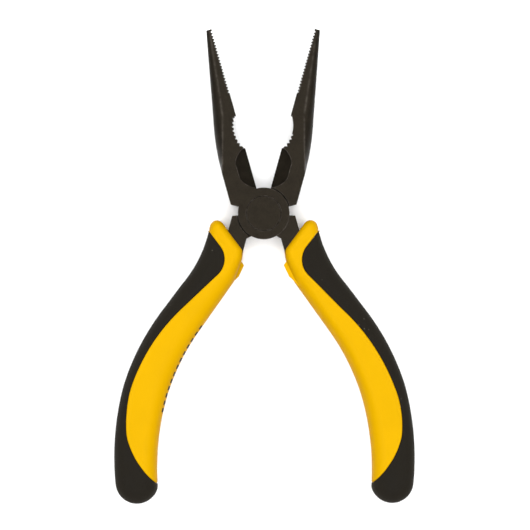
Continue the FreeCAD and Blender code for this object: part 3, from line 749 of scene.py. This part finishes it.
def ridge_highlight_group():
    """A painted highlight with rubbed wear, as a streak down the outer ridge of a jaw, for a lever
    turned by the given angle.
    """
    group, given, out = new_group("worn_ridge", {"Turn": 0.0, "Side": 1.0, "Width": 0.0006,
                                                 "Scale": 300.0}, ["Mask"])
    where = place_of(group)
    turned = add_node(group, "ShaderNodeVectorRotate", {"rotation_type": "Z_AXIS"}, {
        "Vector": where, "Angle": given.outputs["Turn"]})
    parts = add_node(group, "ShaderNodeSeparateXYZ", None, {0: turned.outputs[0]})
    outward = worked(group, "MULTIPLY", parts.outputs["X"], given.outputs["Side"])
    height = parts.outputs["Y"]
    (tip_x, tip_y), (middle_x, middle_y), (root_x, root_y) = (
        (x * MM, y * MM) for x, y in (RIDGE_TIP, RIDGE_MIDDLE, RIDGE_ROOT))
    upper = ranged(group, height, middle_y, tip_y, start=middle_x, end=tip_x)
    lower = ranged(group, height, root_y, middle_y, start=root_x - middle_x, end=0.0)
    gap = worked(group, "SUBTRACT", outward, worked(group, "ADD", upper, lower))
    away = worked(group, "ABSOLUTE", gap)
    streak = ranged(group, away, 0.0, given.outputs["Width"], start=1.0, end=0.0)
    uneven = noise(group, where, given.outputs["Scale"], detail=6.0, roughness=0.75)
    both = worked(group, "MULTIPLY", streak, ranged(group, uneven, low=0.4, high=0.64))
    kept = worked(group, "MULTIPLY", both, worked(group, "GREATER_THAN", height, root_y))
    group.links.new(kept, out.inputs["Mask"])
    return group


def placed_group(tree, name, values):
    """A built group as a node of the tree, with its own values."""
    return add_node(tree, "ShaderNodeGroup", {"node_tree": bpy.data.node_groups[name]}, values)


def new_material(name):
    """A material with only a Principled shader and its output."""
    material = bpy.data.materials.new(name)
    material.use_nodes = True
    tree = material.node_tree
    tree.nodes.clear()
    shader = tree.nodes.new("ShaderNodeBsdfPrincipled")
    out = tree.nodes.new("ShaderNodeOutputMaterial")
    tree.links.new(shader.outputs[0], out.inputs["Surface"])
    return material, tree, shader


def grained(tree, scale, broad_scale, broad_share):
    """The shared grain as a node of the tree."""
    return placed_group(tree, "surface_grain", {
        "Scale": scale, "Broad Scale": broad_scale, "Broad Share": broad_share})


def mixed_colour(tree, share, first, second):
    """A colour between two, each given as a colour or as a socket."""
    first, second = (end if isinstance(end, bpy.types.NodeSocket) else (*end, 1)
                     for end in (first, second))
    mix = add_node(tree, "ShaderNodeMix", {"data_type": "RGBA"}, {0: share, 6: first, 7: second})
    return mix.outputs[2]


def tinted(tree, value, low, high, dark, light):
    """A colour between dark and light, by a value between low and high."""
    return mixed_colour(tree, ranged(tree, value, low, high), dark, light)


def over(tree, base, mask, colour, strength):
    """A colour laid over another where a mask says."""
    return mixed_colour(tree, worked(tree, "MULTIPLY", mask, strength), base, colour)


def specked(tree, base, scale, size, share, colour, strength):
    """A colour with small scattered specks laid over it."""
    specks = placed_group(tree, "scattered_specks", {"Scale": scale, "Size": size, "Share": share})
    return over(tree, base, specks.outputs["Mask"], colour, strength)


def aslant_shade_and_sheen(tree, base, blend, colour, strength):
    """A colour that turns to another where the surface is seen aslant: painted shade where the
    other colour is darker, painted sheen where it is lighter.
    """
    slant = add_node(tree, "ShaderNodeLayerWeight", None, {"Blend": blend})
    return over(tree, base, slant.outputs["Facing"], colour, strength)


def vary_roughness(tree, shader, grain, middle, below, above):
    """Roughness that wanders round its middle value with the broad unevenness."""
    rough = ranged(tree, grain.outputs["Broad"], 0.3, 0.7, middle - below, middle + above)
    tree.links.new(rough, shader.inputs["Roughness"])


def add_relief(tree, shader, grain, strength, depth, rounding=0.0):
    """Fine relief from the grain, over edges that look rounded by the given radius."""
    inputs = {"Strength": strength, "Distance": depth, "Height": grain.outputs["Grain"]}
    if rounding:
        rounded = add_node(tree, "ShaderNodeBevel", {"samples": 6}, {"Radius": rounding})
        inputs["Normal"] = rounded.outputs[0]
    bump = add_node(tree, "ShaderNodeBump", None, inputs)
    tree.links.new(bump.outputs[0], shader.inputs["Normal"])


def scaled_colour(colour, factor):
    """A darker or lighter copy of a colour."""
    return tuple(min(1.0, part * factor) for part in colour)


def blackened_steel(name, finishes, broad_scale, jaw_side=0):
    """Blackened steel: mottled, finely blasted, rubbed bright along its edges, with a painted
    highlight and rubbed wear down the jaw ridge.
    """
    material, tree, shader = new_material(name)
    colour, worn = tuple(finishes.steel_colour), tuple(finishes.wear_and_highlight_colour)
    grain = grained(tree, 3200.0, broad_scale, 0.45)
    base = tinted(tree, grain.outputs["Grain"], 0.34, 0.66, scaled_colour(colour, 0.68),
                  scaled_colour(colour, 1.34))
    base = specked(tree, base, 900.0, 0.16, 0.25, scaled_colour(colour, 2.6), 0.55)
    rubbed = placed_group(tree, "rubbed_edges", {"Radius": 0.00045, "Amount": 1.0,
                                                 "Scale": 650.0})
    base = over(tree, base, rubbed.outputs["Mask"], worn, 1.0)
    # Painted highlight and rubbed wear: a lighter streak down each jaw's outer ridge.
    if jaw_side:
        opening = settings().grips.half_opening
        streak = placed_group(tree, "worn_ridge", {"Turn": jaw_side * opening, "Side": jaw_side,
                                                   "Width": 0.0007, "Scale": 320.0})
        base = over(tree, base, streak.outputs["Mask"], worn, finishes.ridge_highlight_and_wear)
    tree.links.new(base, shader.inputs["Base Color"])
    vary_roughness(tree, shader, grain, finishes.steel_roughness, below=0.08, above=0.1)
    shader.inputs["Metallic"].default_value = 0.5
    shader.inputs["Specular IOR Level"].default_value = 0.03
    add_relief(tree, shader, grain, strength=0.28, depth=0.06 * MM, rounding=0.35 * MM)
    return material


def hard_yellow(finishes):
    """Hard yellow plastic: satin, hardly uneven, with a few faint handling specks and painted shade
    on its rounded edges seen aslant.
    """
    material, tree, shader = new_material("hard_yellow_plastic")
    colour = tuple(finishes.shell_colour)
    grain = grained(tree, 1800.0, 70.0, 0.55)
    base = tinted(tree, grain.outputs["Broad"], 0.3, 0.7, scaled_colour(colour, 0.965),
                  scaled_colour(colour, 1.02))
    base = specked(tree, base, 330.0, 0.1, 0.16, (0.42, 0.2, 0.02), 0.3)
    # Painted shade: a deeper orange where the surface is seen aslant darkens the rounded edges.
    base = aslant_shade_and_sheen(tree, base, 0.3, tuple(finishes.shell_painted_shade_colour), 0.8)
    tree.links.new(base, shader.inputs["Base Color"])
    vary_roughness(tree, shader, grain, finishes.shell_roughness, below=0.05, above=0.06)
    shader.inputs["Specular IOR Level"].default_value = 0.02
    add_relief(tree, shader, grain, strength=0.12, depth=0.04 * MM)
    return material


def soft_black(finishes):
    """Soft black plastic: matt, finely grained, with faint dust specks and a painted sheen on its
    edges seen aslant.
    """
    material, tree, shader = new_material("soft_black_plastic")
    colour = tuple(finishes.soft_colour)
    grain = grained(tree, 2600.0, 90.0, 0.35)
    base = tinted(tree, grain.outputs["Grain"], 0.34, 0.66, scaled_colour(colour, 0.8),
                  scaled_colour(colour, 1.22))
    base = specked(tree, base, 480.0, 0.13, 0.2, (0.1, 0.095, 0.075), 0.5)
    # Painted sheen: a lighter grey where the surface is seen aslant lightens the rounded edges.
    base = aslant_shade_and_sheen(tree, base, 0.4, scaled_colour(colour, 2.6), 0.8)
    tree.links.new(base, shader.inputs["Base Color"])
    vary_roughness(tree, shader, grain, finishes.soft_roughness, below=0.07, above=0.07)
    shader.inputs["Specular IOR Level"].default_value = 0.06
    add_relief(tree, shader, grain, strength=0.3, depth=0.07 * MM)
    return material


def mark_ink(finishes):
    """Printed black marks, thin and slightly worn."""
    material, tree, shader = new_material("printed_marks")
    colour = tuple(finishes.soft_colour)
    grain = grained(tree, 3000.0, 300.0, 0.5)
    base = tinted(tree, grain.outputs["Grain"], 0.35, 0.65, scaled_colour(colour, 0.5),
                  scaled_colour(colour, 1.3))
    tree.links.new(base, shader.inputs["Base Color"])
    shader.inputs["Roughness"].default_value = 0.55
    shader.inputs["Specular IOR Level"].default_value = 0.05
    return material


def pale_floor(finishes):
    """Pale studio floor, almost even."""
    material, tree, shader = new_material("pale_floor")
    colour = tuple(finishes.floor_colour)
    grain = grained(tree, 300.0, 8.0, 0.6)
    base = tinted(tree, grain.outputs["Grain"], 0.3, 0.7, scaled_colour(colour, 0.995), colour)
    tree.links.new(base, shader.inputs["Base Color"])
    shader.inputs["Roughness"].default_value = 0.9
    shader.inputs["Specular IOR Level"].default_value = 0.1
    return material


def dress(piece, material):
    """The piece with one material in place of what it had."""
    piece.data.materials.clear()
    piece.data.materials.append(material)


# ------------------------------------------------------------------ printed marks

# How far a bar stands out of the grip and reaches into it, how far round the side it wraps each
# way from the middle height, in degrees, and the step of the line that the bars are set along.
MARK_PROUD, MARK_SUNK = 0.06, 0.35
MARK_WRAP = 24
GUIDE_STEP = 0.5

def marks_tree():
    """Geometry Nodes: plain bars set at even steps along a guide line."""
    tree = bpy.data.node_groups.new("plain_marks", "GeometryNodeTree")
    face = tree.interface
    face.new_socket("Guide", in_out="INPUT", socket_type="NodeSocketGeometry")
    face.new_socket("Mark", in_out="INPUT", socket_type="NodeSocketObject")
    face.new_socket("Spacing", in_out="INPUT", socket_type="NodeSocketFloat")
    face.new_socket("Ink", in_out="INPUT", socket_type="NodeSocketMaterial")
    face.new_socket("Marks", in_out="OUTPUT", socket_type="NodeSocketGeometry")
    given, out = tree.nodes.new("NodeGroupInput"), tree.nodes.new("NodeGroupOutput")
    curve = add_node(tree, "GeometryNodeMeshToCurve", None, {0: given.outputs["Guide"]})
    steps = add_node(tree, "GeometryNodeCurveToPoints", {"mode": "LENGTH"}, {
        0: curve.outputs[0], "Length": given.outputs["Spacing"]})
    mark = add_node(tree, "GeometryNodeObjectInfo", {"transform_space": "ORIGINAL"}, {
        "Object": given.outputs["Mark"]})
    turn = add_node(tree, "FunctionNodeAlignRotationToVector", {"axis": "Y"}, {
        "Vector": steps.outputs["Tangent"]})
    copies = add_node(tree, "GeometryNodeInstanceOnPoints", None, {
        "Points": steps.outputs["Points"], "Instance": mark.outputs["Geometry"],
        "Rotation": turn.outputs[0]})
    real = add_node(tree, "GeometryNodeRealizeInstances", None, {0: copies.outputs[0]})
    inked = add_node(tree, "GeometryNodeSetMaterial", None, {
        "Geometry": real.outputs[0], "Material": given.outputs["Ink"]})
    tree.links.new(inked.outputs[0], out.inputs["Marks"])
    return tree


def mark_shape(plan, radius, width):
    """One bar that wraps the rounded palm side, along +Y, its outward side towards -X."""
    flat = plan.half - radius
    proud, sunk = MARK_PROUD, MARK_SUNK
    section = []
    for angle in np.radians(np.linspace(MARK_WRAP, 0, 6)):
        section.append((radius - radius * math.cos(angle), flat + radius * math.sin(angle),
                        math.cos(angle), math.sin(angle)))
    section += [(x, -z, out, -up) for x, z, out, up in section[::-1]]
    points, faces = [], []
    for y in (-width / 2, width / 2):
        for x, z, out, up in section:
            points.append(((x - out * proud) * MM, y, (z + up * proud) * MM))
        for x, z, out, up in section:
            points.append(((x + out * sunk) * MM, y, (z - up * sunk) * MM))
    count = len(section)
    ring = list(range(count)) + list(range(2 * count - 1, count - 1, -1))
    size = len(ring)
    for k in range(size):
        a, b = ring[k], ring[(k + 1) % size]
        faces.append((a, b, 2 * count + b, 2 * count + a))
    for base in (0, 2 * count):
        for k in range(count - 1):
            faces.append((base + k, base + k + 1, base + count + k + 1, base + count + k))
    mesh = bpy.data.meshes.new("mark_shape")
    mesh.from_pydata(points, [], faces)
    made = bmesh.new()
    made.from_mesh(mesh)
    bmesh.ops.recalc_face_normals(made, faces=made.faces)
    made.to_mesh(mesh)
    made.free()
    return mesh


# ------------------------------------------------------------------ operators

FLOOR_REACH = 3.0
LAMP_PLACES = (("left", -0.65, 0.05), ("right", 0.65, 0.05), ("far", 0.0, 0.7), ("near", 0.0, -0.7))
LAMP_HEIGHT = 1.2
LAMP_SIZE = 0.9
LAMP_AIM = Vector((0, -0.02, 0))

def settings():
    """The settings of this scene's pliers."""
    return bpy.context.scene.pliers


class PLIERS_OT_node_groups(bpy.types.Operator):
    """Build the effects that the finishes share"""

    bl_idname = "pliers.node_groups"
    bl_label = "Build shared effects"

    def execute(self, context):
        for build in (grain_group, speck_group, wear_group, ridge_highlight_group):
            build()
        return {"FINISHED"}


class PLIERS_OT_levers(bpy.types.Operator):
    """Finish both forged levers and the rivet in blackened steel"""

    bl_idname = "pliers.levers"
    bl_label = "Finish levers and rivet"

    def execute(self, context):
        finishes = settings().finishes
        for name, side in (("front_lever", -1), ("back_lever", 1)):
            forged = blackened_steel(f"blackened_{name}", finishes, 260.0, side)
            dress(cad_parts[name], forged)
        turned = blackened_steel("blackened_rivet", finishes, 420.0)
        dress(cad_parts["pivot_rivet"], turned)
        return {"FINISHED"}


class PLIERS_OT_sleeves(bpy.types.Operator):
    """Make the hard yellow sleeve of each grip, with its finger guard and lug"""

    bl_idname = "pliers.sleeves"
    bl_label = "Make hard sleeves"

    def execute(self, context):
        sizes = settings().grips
        plan = GripPlan(sizes)
        material = hard_yellow(settings().finishes)
        left, right, left_rim, right_rim = sleeve_shell(plan)
        points, faces, columns = strip_surface(plan, left, right, left_rim, right_rim)
        points, cap = cap_faces(points, columns)
        points = plan.leaned(points)
        for side, body in (("right", "front_half"), ("left", "back_half")):
            piece = shell_object(f"{side}_sleeve_shell", points, faces + cap, sizes,
                                 side == "left")
            add_lug(piece, sizes, side == "left")
            dress(piece, material)
            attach(piece, body)
            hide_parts(f"{side}_grip_sleeve")
        return {"FINISHED"}


class PLIERS_OT_overmoulds(bpy.types.Operator):
    """Make the soft black back and end of each grip"""

    bl_idname = "pliers.overmoulds"
    bl_label = "Make soft overmoulds"

    def execute(self, context):
        sizes = settings().grips
        plan = GripPlan(sizes)
        material = soft_black(settings().finishes)
        left, right, left_rim, right_rim = overmould_shell(plan)
        points, faces, _ = strip_surface(plan, left, right, left_rim, right_rim)
        points = plan.leaned(points)
        for side, body in (("right", "front_half"), ("left", "back_half")):
            piece = shell_object(f"{side}_soft_back", points, faces, sizes, side == "left")
            dress(piece, material)
            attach(piece, body)
            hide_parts(f"{side}_grip_overmould")
        return {"FINISHED"}


class PLIERS_OT_marks(bpy.types.Operator):
    """Print a plain row of bars on the palm side of the left grip"""

    bl_idname = "pliers.marks"
    bl_label = "Print plain marks"

    def execute(self, context):
        sizes, marks = settings().grips, settings().marks
        plan = GripPlan(sizes)
        total = lengths(plan.palm)[-1]
        places = np.arange(marks.first * total, marks.last * total, GUIDE_STEP)
        along = at(plan.palm, places)[::-1]
        points = np.column_stack([along, np.zeros(len(along))]) * MM
        guide = bpy.data.meshes.new("mark_guide")
        guide.from_pydata(points.tolist(), [(k, k + 1) for k in range(len(points) - 1)], [])
        row = bpy.data.objects.new("left_grip_marks", guide)
        mark = bpy.data.objects.new("mark_shape", mark_shape(plan, sizes.palm_rounding / MM,
                                                              marks.width))
        for thing in (row, mark):
            context.scene.collection.objects.link(thing)
        tree = marks_tree()
        print_row = row.modifiers.new("print", "NODES")
        print_row.node_group = tree
        given = {item.name: item.identifier for item in tree.interface.items_tree
                 if item.in_out == "INPUT"}
        print_row[given["Mark"]] = mark
        print_row[given["Spacing"]] = marks.spacing
        print_row[given["Ink"]] = mark_ink(settings().finishes)
        mesh = plain_mesh(row)
        corners = np.array([vertex.co for vertex in mesh.vertices], float)
        corners = placed(corners / MM, sizes, True)
        mesh.vertices.foreach_set("co", corners.astype(np.float32).ravel())
        row.data = mesh
        bpy.data.objects.remove(mark)
        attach(row, "back_half")
        return {"FINISHED"}


class PLIERS_OT_stage(bpy.types.Operator):
    """Set the floor, the soft lights and the camera straight above"""

    bl_idname = "pliers.stage"
    bl_label = "Set the stage"

    def execute(self, context):
        stage, finishes = settings().stage, settings().finishes
        scene = context.scene
        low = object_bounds()[0]
        floor_mesh = bpy.data.meshes.new("floor")
        reach = FLOOR_REACH
        corners = [(-reach, -reach), (reach, -reach), (reach, reach), (-reach, reach)]
        floor_mesh.from_pydata([(x, y, low.z) for x, y in corners], [], [(0, 1, 2, 3)])
        floor = bpy.data.objects.new("floor", floor_mesh)
        scene.collection.objects.link(floor)
        dress(floor, pale_floor(finishes))
        floor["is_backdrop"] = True

        world = bpy.data.worlds.new("studio")
        world.use_nodes = True
        sky = world.node_tree.nodes["Background"]
        sky.inputs["Color"].default_value = (1, 1, 1, 1)
        sky.inputs["Strength"].default_value = stage.sky_strength
        scene.world = world

        for name, x, y in LAMP_PLACES:
            data = bpy.data.lights.new(f"soft_{name}", "AREA")
            data.shape = "SQUARE"
            data.size = LAMP_SIZE
            data.energy = stage.light_power
            lamp = bpy.data.objects.new(f"soft_{name}", data)
            lamp.location = (x, y, LAMP_HEIGHT)
            aim = LAMP_AIM - lamp.location
            lamp.rotation_euler = aim.to_track_quat("-Z", "Y").to_euler()
            scene.collection.objects.link(lamp)

        data = bpy.data.cameras.new("camera")
        data.sensor_width = 36.0
        data.lens = data.sensor_width * stage.camera_height / stage.view_width
        data.clip_end = 20.0
        camera = bpy.data.objects.new("camera", data)
        middle = settings().grips.middle_height
        camera.location = (stage.view_x, stage.view_y, middle + stage.camera_height)
        camera.rotation_euler = (0, 0, stage.camera_roll)
        scene.collection.objects.link(camera)
        scene.camera = camera
        scene.view_settings.view_transform = "Standard"
        return {"FINISHED"}


class PLIERS_PT_panel(bpy.types.Panel):
    """Pliers: pieces and settings"""

    bl_idname = "PLIERS_PT_panel"
    bl_label = "Needle nose pliers"
    bl_space_type = "VIEW_3D"
    bl_region_type = "UI"
    bl_category = "Pliers"

    def draw(self, context):
        chosen = context.scene.pliers
        for group, operators in (
                (chosen.finishes, ("pliers.node_groups", "pliers.levers")),
                (chosen.grips, ("pliers.sleeves", "pliers.overmoulds")),
                (chosen.marks, ("pliers.marks",)),
                (chosen.stage, ("pliers.stage",))):
            box = self.layout.box()
            for name in group.__annotations__:
                box.prop(group, name)
            for operator in operators:
                box.operator(operator)


CLASSES = (
    GripSizes, MarkSizes, Finishes, StageSizes, PliersSettings,
    PLIERS_OT_node_groups, PLIERS_OT_levers, PLIERS_OT_sleeves, PLIERS_OT_overmoulds,
    PLIERS_OT_marks, PLIERS_OT_stage, PLIERS_PT_panel,
)


def register():
    for each in CLASSES:
        bpy.utils.register_class(each)
    bpy.types.Scene.pliers = PointerProperty(type=PliersSettings)


def unregister():
    del bpy.types.Scene.pliers
    for each in reversed(CLASSES):
        bpy.utils.unregister_class(each)


def main():
    """Make every piece in order."""
    register()
    bpy.ops.pliers.node_groups()
    bpy.ops.pliers.levers()
    bpy.ops.pliers.sleeves()
    bpy.ops.pliers.overmoulds()
    bpy.ops.pliers.marks()
    bpy.ops.pliers.stage()


if __name__ == "__main__":
    main()
